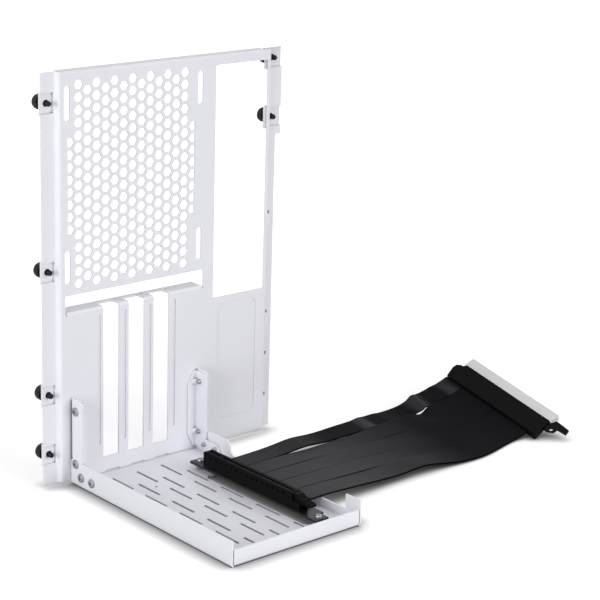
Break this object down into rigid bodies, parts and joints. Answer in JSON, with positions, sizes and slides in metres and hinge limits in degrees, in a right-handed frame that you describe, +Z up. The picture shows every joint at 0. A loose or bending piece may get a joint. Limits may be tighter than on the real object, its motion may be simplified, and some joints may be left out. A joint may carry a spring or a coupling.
{
  "type": "vertical gpu bracket",
  "caption": "Folded steel case back panel with a tray, a card connector and a flat ribbon lead that hold a graphics card upright.",
  "frame": {"origin": "middle of the footprint of panel and tray, ribbon and plug left out, on the plane of the tray's underside", "axes": "+Z up along the panel, +X along the panel to the right as seen from the tray, -Y forward along the tray"},
  "size_m": [0.3472, 0.18, 0.2713],
  "materials": {
    "painted_white": "satin",
    "screw_steel": "satin",
    "black_steel": "satin",
    "circuit_board": "satin",
    "black_plastic": "matte",
    "gilt_contacts": "polished",
    "ribbon_jacket": "satin",
    "grey_cover": "matte"
  },
  "bodies": {
    "base": {"rear_panel": "painted_white", "gpu_tray": "painted_white", "left_angle_bracket": "painted_white", "right_angle_bracket": "painted_white", "left_side_screws": "screw_steel", "right_side_screws": "screw_steel", "left_thumbscrews": "black_steel", "right_thumbscrews": "black_steel", "riser_board": "circuit_board", "board_standoffs": "screw_steel", "board_screws": "screw_steel", "slot_housing": "black_plastic", "slot_contacts": "gilt_contacts", "ribbon_clamp": "black_plastic", "plug_housing_top": "black_plastic", "plug_housing_bottom": "black_plastic", "plug_board": "circuit_board", "finger_cover": "grey_cover", "ribbon_strip_1": "ribbon_jacket", "ribbon_strip_2": "ribbon_jacket", "ribbon_strip_3": "ribbon_jacket", "ribbon_strip_4": "ribbon_jacket", "ribbon_strip_5": "ribbon_jacket"},
    "latch": {"slot_latch": "black_plastic"}
  },
  "joints": [
    {"name": "latch_tilt", "type": "hinge", "parent": "base", "child": "latch", "pos_m": [0.0021, -0.0595, 0.0097], "axis": [1, 0, 0], "range_deg": [0, 20]}
  ]
}
